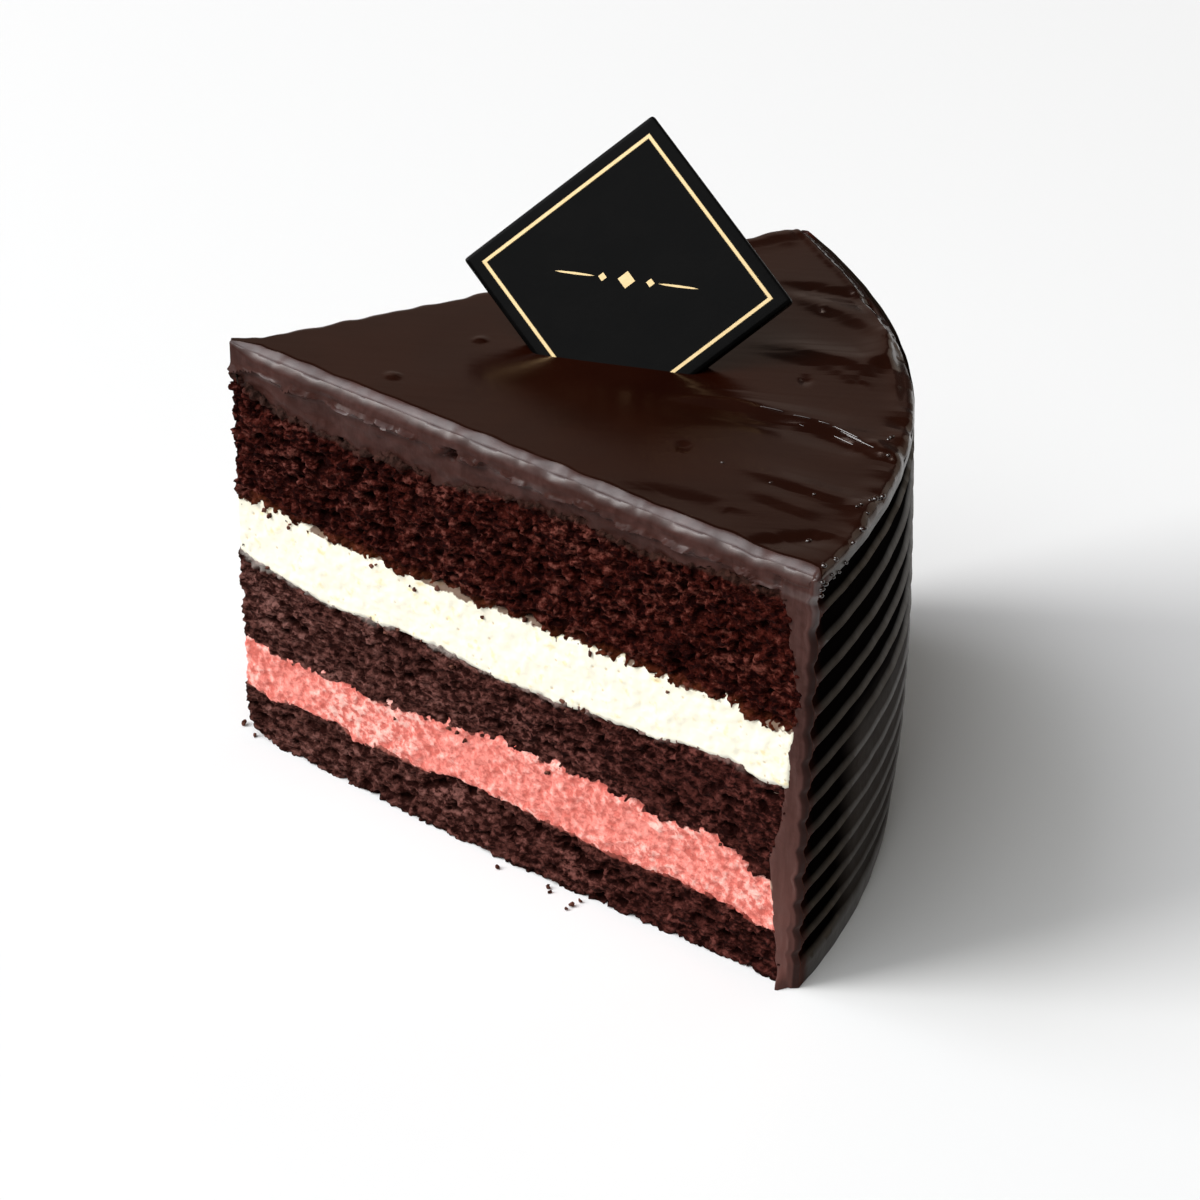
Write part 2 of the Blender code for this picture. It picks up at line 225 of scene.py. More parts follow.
def layer(name, low, high, cut_steps, rows):
    """Adds one layer of the slice with smooth cuts, from the joint below to the joint above it."""
    piece = wedge_blank(name, cut_steps, rows)
    points = read_points(piece)
    plan = points[:, :2] - np.array(TIP.xy)
    part = points[:, 2].copy()
    distance = np.hypot(*plan.T)
    front = plan[:, 1] < 0
    sides = {side: np.abs(plan @ np.array(CUT_NORMALS[side].xy)) < 1e-6 for side in (-1, 1)}
    bottom = joint_height(low, distance, front) if low else np.zeros(len(points))
    rough_height = bottom + (joint_height(high, distance, front) - bottom) * part
    for side, here in sides.items():
        reach = float(rim_reach(side * HALF_ANGLE, COAT))
        here = here & ((side > 0) != front)
        stretch = (coat_edge(rough_height[here], side) + OVERLAP) / reach
        points[here, :2] = plan[here] * stretch[:, None] + np.array(TIP.xy)
    plan = points[:, :2] - np.array(TIP.xy)
    distance = np.hypot(*plan.T)
    bottom = joint_height(low, distance, front) if low else np.zeros(len(points))
    top = joint_height(high, distance, front)
    points[:, 2] = (bottom - OVERLAP * bool(low)) * (1 - part) + (top + OVERLAP) * part
    above = points[:, 2] - bottom
    below = top - points[:, 2]
    beyond = np.maximum(-above if low else 0.0, -below) / OVERLAP
    inward = EDGE_RECESS * np.maximum(beyond, 0.0) ** 1.5
    along = distance / (FRONT_REACH - COAT)
    near_foot = np.clip(1 - points[:, 2] / FOOT_HEIGHT, 0, 1)
    flare = FOOT_FLARE * np.sin(np.pi * np.clip(along, 0, 1)) ** 2 * near_foot
    near_table = np.clip(1 - points[:, 2] / TIP_WEAR_HEIGHT, 0, 1) ** 2
    wear = TIP_WEAR * near_table * np.clip(1 - distance / TIP_WEAR_LENGTH, 0, 1)
    cut_share = np.zeros(len(points))
    for side, here in sides.items():
        end = np.clip((distance - coat_edge(points[:, 2], side)) / OVERLAP, 0, 1)
        outward = (flare if side == -1 else 0.0) - np.maximum(inward, EDGE_RECESS * end ** 1.5)
        points[:, :2] += np.where(here, outward, 0.0)[:, None] * np.array(CUT_NORMALS[side].xy)
        cut_share[here] = 1.0
    points[:, 0] += wear + TIP_BLUNT * np.clip(1 - distance / TIP_BLUNT, 0, 1)
    write_points(piece, points)
    piece.data.shade_smooth()
    group = piece.vertex_groups.new(name="cut")
    for index in np.nonzero(cut_share)[0]:
        group.add([int(index)], float(cut_share[index]), "REPLACE")
    store(piece, "above", above * IN_MILLIMETRES)
    store(piece, "below", below * IN_MILLIMETRES)
    store(piece, "along", distance * IN_MILLIMETRES)
    return piece


def roughen(piece, kind, size, strength, **settings):
    """Pushes the cut faces in and out by a procedural texture of one size."""
    grain = bpy.data.textures.new(f"{piece.name} {kind} {size}", kind)
    grain.noise_scale = size
    for key, value in settings.items():
        setattr(grain, key, value)
    modifier = piece.modifiers.new(grain.name, "DISPLACE")
    modifier.texture = grain
    modifier.texture_coords = "LOCAL"
    modifier.strength = strength
    modifier.mid_level = 0.5
    modifier.vertex_group = "cut"
    choose(piece)
    bpy.ops.object.modifier_apply(modifier=modifier.name)


def open_pores(piece, low, high, count, chance):
    """Opens the larger pores of a sponge: short pits in both cuts, wider than they are high."""
    points = read_points(piece)
    plan = points[:, :2] - np.array(TIP.xy)
    distance = np.hypot(*plan.T)
    for side in (-1, 1):
        normal = np.array(CUT_NORMALS[side].xy)
        here = np.nonzero((np.abs(plan @ normal) < 0.003) & ((plan[:, 1] > 0) == (side > 0)))[0]
        depth = np.zeros(len(here))
        for _ in range(count):
            along = chance.uniform(0.002, FRONT_REACH - COAT)
            bottom = float(joint_height(low, along, side < 0)) if low else 0.0
            level = chance.uniform(bottom, float(joint_height(high, along, side < 0)))
            size = PORE_SMALLEST + PORE_GROWTH * chance.random() ** 3
            away = ((distance[here] - along) / size) ** 2
            away += ((points[here, 2] - level) / (PORE_FLATNESS * size)) ** 2
            depth = np.maximum(depth, PORE_DEPTH * size * np.exp(-away ** 2))
        points[here, :2] -= depth[:, None] * normal
    write_points(piece, points)


def crumb(piece, low, high, lump, depth, pores, chance):
    """Tears the cut faces of a sponge: broad unevenness, lumps with creases between them, grit and pores."""
    smooth = read_points(piece)
    roughen(piece, "CLOUDS", UNEVEN_SIZE, UNEVEN_DEPTH)
    roughen(piece, "VORONOI", lump, -depth, distance_metric="DISTANCE")
    roughen(piece, "CLOUDS", lump * 0.6, depth * 0.9, noise_depth=1)
    roughen(piece, "VORONOI", lump * 0.45, -depth * 0.45)
    open_pores(piece, low, high, pores, chance)
    inward = np.zeros(len(smooth))
    moved = read_points(piece) - smooth
    for side in (-1, 1):
        here = (smooth[:, 1] > TIP.y) == (side > 0)
        inward[here] = -(moved[here] @ np.array(CUT_NORMALS[side]))
    torn = np.linalg.norm(moved, axis=1) > 1e-7
    store(piece, "relief", (inward - np.median(inward[torn])) * torn * IN_MILLIMETRES)


class Value:
    """A value in a material, so that shader maths is written as plain sums and products."""

    def __init__(self, finish, socket):
        self.finish, self.socket = finish, socket

    def maths(self, operation, *others):
        return self.finish.node("ShaderNodeMath", {"operation": operation}, dict(enumerate((self, *others))))

    def __add__(self, other):
        return self.maths("ADD", other)

    def __mul__(self, other):
        return self.maths("MULTIPLY", other)

    def __rsub__(self, other):
        return self.maths("MULTIPLY", -1.0).maths("ADD", other)

    __radd__ = __add__
    __rmul__ = __mul__

    def steps(self, low, high):
        """Rises smoothly from 0 at low to 1 at high, or falls where high is the smaller."""
        flip = low > high
        ranged = self.finish.node("ShaderNodeMapRange", {"interpolation_type": "SMOOTHSTEP"},
                                  {"Value": self, "From Min": min(low, high), "From Max": max(low, high)})
        return 1 - ranged if flip else ranged


def socket_name(words):
    """Returns the name of a shader's socket, such as Base Color for base_color."""
    return words.replace("_", " ").title().replace("Ior", "IOR")


class Finish:
    """One material: a Principled shader and the nodes that feed it."""

    def __init__(self, name, **uniform):
        self.material = bpy.data.materials.new(name)
        self.material.use_nodes = True
        self.tree = self.material.node_tree
        self.shader = self.tree.nodes["Principled BSDF"]
        for socket, value in uniform.items():
            self.shader.inputs[socket_name(socket)].default_value = value
        self.place = self.node("ShaderNodeTexCoord", output="Object")

    def node(self, kind, settings=None, inputs=None, output=0):
        """Adds a node with its settings and inputs, and returns one of its outputs."""
        node = self.tree.nodes.new(kind)
        for key, value in (settings or {}).items():
            setattr(node, key, value)
        for key, value in (inputs or {}).items():
            self.feed(node.inputs[key], value)
        return Value(self, node.outputs[output])

    def feed(self, socket, value):
        """Links a value to a socket, or sets the socket to a number or a colour."""
        if isinstance(value, Value):
            self.tree.links.new(value.socket, socket)
        elif isinstance(value, (int, float)) or len(value) == len(socket.default_value):
            socket.default_value = value
        else:
            socket.default_value = (*value, 1.0)

    def noise(self, size, detail=2.0, stretch=(1, 1, 1), roughness=0.5):
        """Noise whose lumps are about one size across, in metres."""
        place = self.node("ShaderNodeVectorMath", {"operation": "MULTIPLY"}, {0: self.place, 1: stretch})
        return self.node("ShaderNodeTexNoise", None, {"Vector": place, "Scale": 0.6 / size, "Detail": detail,
                                                      "Roughness": roughness})

    def cells(self, size, feature="F1", output="Distance"):
        """Cells of about one size across, in metres."""
        inputs = {"Vector": self.place, "Scale": 1 / size}
        return self.node("ShaderNodeTexVoronoi", {"feature": feature}, inputs, output)

    def kept(self, name):
        """A number that the mesh keeps at each vertex."""
        return self.node("ShaderNodeAttribute", {"attribute_name": name}, output="Fac")

    def mix(self, share, one, other, blend="MIX"):
        """Mixes two colours by a share of the second."""
        settings = {"data_type": "RGBA", "blend_type": blend}
        return self.node("ShaderNodeMix", settings, {0: share, 6: one, 7: other}, output=2)

    def bump(self, height, distance, over=None, strength=1.0):
        """Turns a height of 0 to 1 into relief that is this deep, in metres."""
        inputs = {"Height": height, "Distance": distance, "Strength": strength}
        if over:
            inputs["Normal"] = over
        return self.node("ShaderNodeBump", None, inputs, output="Normal")

    def paint_matt_shade(self, share, colour):
        """Mixes in a matt surface of one colour by a share; here it paints the shade inside the combed
        flutes.
        """
        matt = self.node("ShaderNodeBsdfPrincipled", None,
                         {"Base Color": colour, "Roughness": 1.0, "Specular IOR Level": 0.0}, output="BSDF")
        glossy = Value(self, self.shader.outputs["BSDF"])
        mixed = self.node("ShaderNodeMixShader", None, {0: share, 1: glossy, 2: matt})
        self.feed(self.tree.nodes["Material Output"].inputs["Surface"], mixed)

    def wear_on(self, piece, slot, index=0, **sockets):
        """Feeds the shader and puts the material on a piece."""
        for socket, value in sockets.items():
            self.feed(self.shader.inputs[socket_name(socket)], value)
        if index < len(piece.data.materials):
            piece.data.materials[index] = self.material
        else:
            piece.data.materials.append(self.material)


def sponge_finish(name, dark, mid, light, deepen, smear, smear_depth, rise, rise_depth):
    """Crumb: dark in its pores, where the dark is painted shade, lighter on its flakes, deeper in colour
    towards the rim, with what lies next to it dragged over its edges. On the top crumb, the orange along its
    lower edge is painted light, bounced from the white cream."""
    finish = Finish(name, roughness=0.75, specular_ior_level=0.03)
    grit = finish.noise(0.00062, 4.0, (0.6, 0.6, 1.2), roughness=0.65)
    patches = finish.noise(0.0045, 2.0, (0.7, 0.7, 1.2))
    flakes = finish.cells(0.0008)
    colour = finish.mix(grit.steps(0.40, 0.60), dark, mid)
    colour = finish.mix((grit + patches * 0.35).steps(0.70, 0.88), colour, light)
    colour = finish.mix(flakes.steps(0.10, 0.02) * 0.5, colour, light)
    # Painted shade: the deeper a spot is torn in, the more it takes the darkest colour, as shade in the pores
    # and creases
    colour = finish.mix(finish.kept("relief").steps(0.25, 0.85) * 0.9, colour, dark)
    drag = finish.noise(0.0012, 3.0, (0.5, 0.5, 1.0))
    smeared = finish.kept("below") + drag * smear_depth * 1.6
    colour = finish.mix(smeared.steps(smear_depth * 1.25, smear_depth * 0.55) * 0.8, colour, smear)
    # Along the lower edge: the bottom crumb's crust, pink cream dragged onto the middle crumb, and painted
    # light on the top crumb, bounced from the white cream below it
    risen = finish.kept("above") + drag * rise_depth * 1.6
    colour = finish.mix(risen.steps(rise_depth * 1.3, rise_depth * 0.5) * 0.7, colour, rise)
    colour = finish.mix(finish.kept("along").steps(10, 100), colour, deepen, "MULTIPLY")
    relief = finish.bump(flakes, 0.0003, over=finish.bump(grit, 0.0005))
    return finish, {"base_color": colour, "roughness": 0.85 - grit * 0.4, "normal": relief}


# Each sponge: joints below and above, steps along a cut, rows, size and depth of its lumps, pores in a cut
sponges = {
    "sponge_bottom": (None, PINK_LOW, 336, 36, 0.0013, 0.0009, 220),
    "sponge_middle": (PINK_HIGH, WHITE_LOW, 336, 48, 0.0013, 0.0009, 260),
    "sponge_top": (WHITE_HIGH, GANACHE_LOW, 400, 84, 0.0015, 0.0013, 520),
}
# Colours of each crumb: in its pores, where the dark is also painted shade, between them, on its flakes, and
# the deepening towards the rim
DARK_CRUMB = ((0.016, 0.0034, 0.0024), (0.098, 0.0360, 0.0290), (0.200, 0.090, 0.076), (0.62, 0.40, 0.38))
TOP_CRUMB = ((0.008, 0.0003, 0.0001), (0.046, 0.0066, 0.0040), (0.140, 0.044, 0.034), (1.0, 0.92, 0.86))
PINK_DRAG, WHITE_DRAG, GANACHE_DRAG = (0.36, 0.12, 0.095), (0.36, 0.33, 0.30), (0.035, 0.018, 0.014)
# The crust at the foot of the bottom crumb, and painted light: the orange glow that the white cream bounces
# onto the top crumb above it
CRUST, ORANGE_BOUNCE_LIGHT = (0.010, 0.0035, 0.0022), (0.115, 0.029, 0.0095)
crumb_finishes = {
    "sponge_bottom": sponge_finish("bottom crumb", *DARK_CRUMB, PINK_DRAG, 0.5, CRUST, 0.7),
    "sponge_middle": sponge_finish("middle crumb", *DARK_CRUMB, WHITE_DRAG, 1.9, PINK_DRAG, 0.4),
    "sponge_top": sponge_finish("top crumb", *TOP_CRUMB, GANACHE_DRAG, 1.0, ORANGE_BOUNCE_LIGHT, 3.8),
}
for node, (low, high, cut_steps, rows, lump, depth, pores) in sponges.items():
    cut_sponge = layer(node + "_crumb", low, high, cut_steps, rows)
    crumb(cut_sponge, low, high, lump, depth, pores, random.Random(node))
    finish, sockets = crumb_finishes[node]
    finish.wear_on(cut_sponge, "top_sponge" if node == "sponge_top" else "dark_sponge", **sockets)
    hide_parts(node)
    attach(cut_sponge, "root")


# The two creams: whipped cream spread on each lower sponge, salmon pink below and off-white above.
# The knife drags them a little, so they have tiny pits and flecks and ragged edges against the crumb.
CREAM_STEPS = 336
CREAM_WAVE = 0.006
CREAM_WAVE_DEPTH = 0.0008


def cream(name, low, high, rows, lump, depth):
    """Adds one cream, with a soft unevenness and small pits in its cuts."""
    piece = layer(name, low, high, CREAM_STEPS, rows)
    roughen(piece, "CLOUDS", CREAM_WAVE, CREAM_WAVE_DEPTH)
    roughen(piece, "CLOUDS", lump, depth, noise_depth=2)
    return piece


white = cream("cream_white_spread", WHITE_LOW, WHITE_HIGH, 40, 0.0012, 0.0004)
off_white = Finish("white cream", roughness=0.6, specular_ior_level=0.1)
speckle = off_white.noise(0.0011, 3.0)
pits = off_white.cells(0.0021)
whites = off_white.mix(speckle.steps(0.56, 0.74), (0.88, 0.845, 0.70), (0.86, 0.74, 0.45))
whites = off_white.mix(pits.steps(0.14, 0.05) * 0.6, whites, (0.62, 0.44, 0.24))
stray = off_white.noise(0.0016, 3.0)
fallen = (off_white.kept("below") + stray * 5.0).steps(2.6, 2.2) * 0.9
whites = off_white.mix(fallen, whites, (0.10, 0.038, 0.018))
lower_edge = (off_white.kept("above") + stray * 1.6).steps(1.5, 0.7) * 0.6
whites = off_white.mix(lower_edge, whites, (0.36, 0.34, 0.32))
off_white.wear_on(white, "white_cream", base_color=whites,
                  normal=off_white.bump(speckle, 0.00012, over=off_white.bump(pits.steps(0.0, 0.2), 0.0001)))

pink = cream("cream_pink_spread", PINK_LOW, PINK_HIGH, 30, 0.0012, 0.0009)
salmon = Finish("pink cream", roughness=0.6, specular_ior_level=0.1)
fluff = salmon.noise(0.0008, 4.0, roughness=0.65)
streaks = salmon.noise(0.004, 2.0, (0.4, 0.4, 1.4))
pinks = salmon.mix(fluff.steps(0.36, 0.60), (0.60, 0.135, 0.105), (0.92, 0.30, 0.25))
pinks = salmon.mix((fluff + streaks * 0.5).steps(0.76, 0.96), pinks, (0.94, 0.54, 0.47))
salmon.wear_on(pink, "pink_cream", base_color=pinks, normal=salmon.bump(fluff, 0.0006))

for piece, node in ((white, "cream_white"), (pink, "cream_pink")):
    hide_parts(node)
    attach(piece, "root")


# The ganache: one coat poured over the top and drawn down the rim with a comb. The comb leaves concave
# flutes with thin ridges, a spatula leaves strokes in the top, and the knife drags a film of ganache
# down over the top sponge. Its surface is glossy where it was left alone and satin where it was cut.
# The shade in the upper part of each flute is painted, in a near-black matt colour.
HEIGHT = 0.0715
# Edges: their roundings, the share of a true arc in them, and how uneven they are
TOP_ROUND = 0.0012
SIDE_ROUND = 0.0009
FRONT_ROUND = 0.0023
ARC_SHARE = 0.7
ROUND_UNEVEN = 0.00022
BULGE_ENDS = 0.0009
BULGE_MIDDLE = 0.0018
BULGE_SKEW = 0.7
# Comb: number and height of its flutes, their depth and form, how they end short of the cuts, and the share
# of each flute, from its lower ridge up, where the painted shade begins: a matt near-black colour in place of
# the shade inside the flute
COMB_MARKS = 13
COMB_LOWEST = 0.006
COMB_PITCH = 0.0044
COMB_PITCH_GROWTH = 0.000062
COMB_TOP = 0.0692
COMB_DEPTH = 0.0012
SHALLOW_SHARE = 0.45
SHALLOW_HEIGHT = 0.037
SHALLOW_FROM_CUT = 0.012
FLUTE_END = 0.0005
FLUTE_END_ROUND = 0.0021
FLUTE_PARTS = (0.03, 0.08, 0.13, 0.19, 0.26, 0.36, 0.50, 0.66, 0.82, 0.94, 1.0)
FLUTE_END_SOFT = 0.0009
FLUTE_SHARE = 0.97
FLUTE_POWER = 2.2
# Where the painted shade in each flute starts, and how quickly it rises
FLUTE_SHADE_START = 0.06
FLUTE_SHADE_RISE = 0.11
COMB_WOBBLE = 0.0002
# Top: slopes and height of the strokes, the lip along the far edge and the fold along the near one
STROKE_GENTLE = 2.8
STROKE_STEEP = 1.1
STROKE_SHARE = 0.75
RIM_LIP_INSET = 0.0016
RIM_LIP_WIDTH = 0.0006
RIM_LIP_RISE = 0.0003
RIM_FALL = 0.0010
RIM_FALL_WIDTH = 0.0014
RIM_FOLD = 0.0007
RIM_FOLD_WIDTH = 0.0022
TOP_UNEVEN = 0.00010
WALL_SMEAR = 0.00012
# Cuts: the film over the top sponge, the rolled lip above it, and the dragged foot by the rim
FILM_PAST = 0.0014
FILM_DIP = 0.0005
FILM_EDGE = 0.0022
FILM_EDGE_HEIGHT = 0.0014
LIP_HEIGHT = 0.0674
LIP_ROLL = 0.0009
LIP_ROLL_WIDTH = 0.00040
TOP_CUT_LOWEST = 0.055
FOOT_SMEAR = 0.0005
FOOT_SMEAR_HEIGHT = 0.013
FOOT_RAG = 0.0020
FOOT_RAG_HEIGHT = 0.003
INNER_STEP = 0.0018
DRAG_LINES = 0.00018
CUT_UNEVEN = 0.0003
# A bubble that burst in the front cut: distance from the tip and height, half width and half height, depth
CUT_BUBBLE = ((0.0425, 0.0672), (0.0011, 0.0009), 0.0022)
UNDERSIDE = 0.0660
# Rows and columns of the coat's grid
SKIN_COLUMNS = 160
ROUND_COLUMNS = 8
CUT_COLUMNS = 32
INNER_COLUMNS = 6
TIP_ROWS = 96
TOP_ROWS = 146
CORNER_ROWS = 8

# Strokes of the spatula in the top, in plan from the tip: points, half width, height
STROKES = (
    (((0.0795, 0.0270), (0.0865, 0.0264), (0.0945, 0.0245)), 0.0010, -0.0008),
    (((0.0800, 0.0262), (0.0870, 0.0211), (0.0927, 0.0176), (0.0975, 0.0118)), 0.0013, 0.0008),
    (((0.0760, 0.0093), (0.0842, 0.0077), (0.0911, 0.0049), (0.0946, 0.0031), (0.0967, 0.0057),
      (0.0980, 0.0117)), 0.0012, 0.0010),
    (((0.0775, 0.0067), (0.0844, 0.0054), (0.0890, 0.0033), (0.0925, 0.0006)), 0.0009, 0.0004),
    (((0.0620, -0.0078), (0.0698, -0.0080), (0.0765, -0.0089), (0.0855, -0.0120), (0.0911, -0.0143),
      (0.0978, -0.0200)), 0.0010, 0.0007),
    (((0.0640, -0.0098), (0.0760, -0.0108), (0.0850, -0.0140), (0.0930, -0.0185)), 0.0009, -0.0005),
    (((0.0780, -0.0257), (0.0893, -0.0317), (0.0962, -0.0350)), 0.0009, 0.0006),
    (((0.0795, -0.0315), (0.0875, -0.0363)), 0.0008, 0.0003),
    (((0.0800, -0.0453), (0.0895, -0.0427)), 0.0008, -0.0006),
    (((0.0615, -0.0330), (0.0745, -0.0364)), 0.0016, -0.0003),
    (((0.0830, 0.0436), (0.0808, 0.0437), (0.0777, 0.0432), (0.0743, 0.0414)), 0.0010, 0.0007),
    (((0.0970, 0.0030), (0.0978, 0.0090)), 0.0014, 0.0007),
    (((0.0965, -0.0165), (0.0985, -0.0205)), 0.0014, 0.0005),
    (((0.0945, -0.0330), (0.0962, -0.0375)), 0.0014, 0.0007),
)
# Bubbles that broke in the glaze, in plan from the tip: place, half width, height
BUBBLES = (
    (0.0873, 0.0199, 0.0007, 0.0004), (0.0860, -0.0010, 0.0009, -0.0003), (0.0265, -0.0075, 0.0010, 0.0003),
    (0.0376, 0.0046, 0.0009, 0.0003), (0.0700, -0.0215, 0.0010, -0.0003),
)
# Smudges of cream and crumb that the knife left on the coat's cut: distance from the tip, height, size
SMUDGES = (
    (0.0987, 0.0315, 0.0006), (0.0984, 0.0290, 0.0005), (0.0978, 0.0085, 0.0011), (0.0994, 0.0167, 0.0006),
)


def comb_mark(number):
    """Returns the height of the middle of a flute. The pitch grows a little towards the top."""
    return COMB_LOWEST + number * COMB_PITCH + number * number * COMB_PITCH_GROWTH


COMB_RIDGES = [min((comb_mark(number) + comb_mark(number - 1)) / 2, COMB_TOP)
               for number in range(COMB_MARKS + 1)]


def flute_part(z):
    """Returns where each height lies in its flute: 0 at the ridge below and 1 at the ridge above."""
    ridges = np.array(COMB_RIDGES)
    index = np.clip(np.searchsorted(ridges, z) - 1, 0, len(ridges) - 2)
    return np.clip((z - ridges[index]) / (ridges[index + 1] - ridges[index]), 0, 1)


def ripple(x, y, z, size):
    """Returns smooth noise between about -1 and 1 at many points."""
    places = np.stack(np.broadcast_arrays(x, y, z), axis=-1).reshape(-1, 3) / size
    return np.array([noise.noise(Vector(place)) for place in places]).reshape(np.broadcast(x, y, z).shape)


def stroke_relief(x, y):
    """Returns the height of the spatula's strokes, which fall slowly behind and steeply in front."""
    height = np.zeros_like(x)
    for bends, half_width, size in STROKES:
        nearest, side, share = np.full_like(x, 1.0), np.zeros_like(x), np.zeros_like(x)
        for number, (start, end) in enumerate(zip(bends, bends[1:])):
            run = np.subtract(end, start)
            along = np.clip(((x - start[0]) * run[0] + (y - start[1]) * run[1]) / (run @ run), 0, 1)
            away = np.hypot(x - start[0] - along * run[0], y - start[1] - along * run[1])
            closer = away < nearest
            nearest = np.where(closer, away, nearest)
            side = np.where(closer, (y - start[1]) * run[0] - (x - start[0]) * run[1], side)
            share = np.where(closer, (number + along) / (len(bends) - 1), share)
        width = half_width * np.where((side > 0) == (size > 0), STROKE_GENTLE, STROKE_STEEP)
        height += STROKE_SHARE * size * np.exp(-((nearest / width) ** 2)) * smooth_step(0.15 + share * 2.0)
    for x_bubble, y_bubble, half_width, size in BUBBLES:
        height += size * np.exp(-(((x - x_bubble) ** 2 + (y - y_bubble) ** 2) / half_width ** 2) ** 2)
    return height


def rim_lip(angle, from_rim):
    """Returns the relief along the top's edge: a lip behind, and a ragged fold where the comb ended."""
    far = smooth_step((angle + 0.10) / 0.25)
    wander = 0.0005 * ripple(angle * 0.1, 0.3, 0.0, 0.012)
    lip = RIM_LIP_RISE * np.exp(-(((from_rim - RIM_LIP_INSET - wander) / RIM_LIP_WIDTH) ** 2))
    lip -= RIM_FALL * smooth_step(1 - from_rim / RIM_FALL_WIDTH)
    ragged = RIM_FOLD * ripple(angle * 0.1, from_rim * 0.3, 0.7, 0.0035)
    ragged = ragged * np.exp(-((from_rim / RIM_FOLD_WIDTH) ** 2))
    return lip * far + ragged * (1 - far)


def bulge(angle, height):
    """Returns how far the rim bulges past the circle, which is most in the middle between the cuts."""
    across = np.cos(angle / HALF_ANGLE * np.pi / 2) ** 2
    upward = np.sin(np.pi * (np.maximum(height, 0) / HEIGHT) ** BULGE_SKEW)
    return across * (BULGE_ENDS + BULGE_MIDDLE * upward)


# The rows run from the tip over the top, round the edge and down the rim: distance, edge angle, height
wall_heights = list(np.linspace(HEIGHT - TOP_ROUND, COMB_RIDGES[-1], 4)[1:])
for upper, lower in zip(COMB_RIDGES[:0:-1], COMB_RIDGES[-2::-1]):
    wall_heights += [upper + (lower - upper) * part for part in FLUTE_PARTS]
wall_heights += [COMB_RIDGES[0] * share for share in (0.75, 0.5, 0.25, 0.0)]
near_tip = np.linspace(0.0, 0.5, TIP_ROWS, endpoint=False)
near_rim = np.linspace(0.5, 1.0, TOP_ROWS)
shares = np.concatenate((near_tip, near_rim, np.ones(CORNER_ROWS + len(wall_heights))))
edge_angles = np.concatenate((np.zeros(TIP_ROWS + TOP_ROWS), np.linspace(0, np.pi / 2, CORNER_ROWS + 1)[1:],
                              np.full(len(wall_heights), np.pi / 2)))
drops = np.concatenate((np.zeros(TIP_ROWS + TOP_ROWS + CORNER_ROWS),
                        HEIGHT - TOP_ROUND - np.array(wall_heights)))
row_count = len(shares)


def coat_row(angle):
    """Returns the places and outward directions of the coat's skin at angles, for every row."""
    angle = np.broadcast_to(angle, (row_count, np.size(angle)))
    share, edge, drop = shares[:, None], edge_angles[:, None], drops[:, None]
    height = HEIGHT - TOP_ROUND + TOP_ROUND * np.cos(edge) - drop + 0 * angle
    circle = rim_reach(angle)
    reach = circle + bulge(angle, height)
    distance = TIP_BLUNT + (reach - TOP_ROUND - TIP_BLUNT) * share + TOP_ROUND * np.sin(edge)
    place = np.stack((distance * np.cos(angle), distance * np.sin(angle), height), axis=-1)
    radial = np.stack((circle * np.cos(angle) - RIM_CENTRE.x, circle * np.sin(angle) - RIM_CENTRE.y,
                       np.zeros_like(circle)), axis=-1) / RIM_RADIUS
    outward = radial * np.sin(edge)[..., None] + np.array((0, 0, 1.0)) * np.cos(edge)[..., None]
    return place, outward


def from_cuts(places):
    """Returns how far points lie from the front cut and from the back cut."""
    return [np.abs(places[..., :2] @ np.array(CUT_NORMALS[side].xy)) for side in (-1, 1)]


def cut_relief(along, height, side):
    """Returns how far the cut face of the ganache stands out: a lip, a film dragged down, a ragged end."""
    wander = ripple(along, side * 0.01, 0.0, 0.006)
    fine = ripple(along, side * 0.01, height * 0.5, 0.0016)
    finer = ripple(along, side * 0.01, height, 0.0008)
    end = joint_height(GANACHE_LOW, along, side < 0) + 0.0009 * wander + 0.0012 * fine + 0.0008 * finer
    lip = LIP_HEIGHT + 0.0009 * wander + 0.0006 * fine
    below_lip = smooth_step((lip - height) / 0.0003)
    film = below_lip * (0.0004 * ripple(along, height * 2.0, side * 0.02, 0.003) - FILM_DIP)
    rolled = np.exp(-(((height - lip) / LIP_ROLL_WIDTH) ** 2))
    rolled = rolled * smooth_step(ripple(along, side, 0.3, 0.004) * 2.5 + 0.6)
    film += LIP_ROLL * rolled - FILM_EDGE * smooth_step((end - height) / FILM_EDGE_HEIGHT)
    if side < 0:
        (along_hole, height_hole), (half_length, half_height), depth = CUT_BUBBLE
        away = ((along - along_hole) / half_length) ** 2 + ((height - height_hole) / half_height) ** 2
        film -= depth * np.exp(-(away ** 2))
    on_top = smooth_step((rim_reach(side * HALF_ANGLE, COAT) - along) / 0.0015) * (height > TOP_CUT_LOWEST)
    drag = DRAG_LINES * ripple(along, height * 0.15, side * 0.03, 0.0011)
    smeared_foot = 0.6 + ripple(along, height, side * 0.04, 0.004)
    drag += FOOT_SMEAR * smooth_step((FOOT_SMEAR_HEIGHT - height) / 0.003) * smeared_foot
    ragged_foot = 0.3 + ripple(along, height * 0.3, side * 0.09, 0.0012)
    drag += FOOT_RAG * smooth_step((FOOT_RAG_HEIGHT - height) / 0.002) * ragged_foot
    inside = coat_edge(height, side) + 0.0007 * ripple(0.0, height, side * 0.07, 0.0025) - along
    drag -= INNER_STEP * smooth_step(inside / 0.0016)
    return on_top * film + (1 - on_top) * drag + CUT_UNEVEN * ripple(along, height, side * 0.05, 0.008)


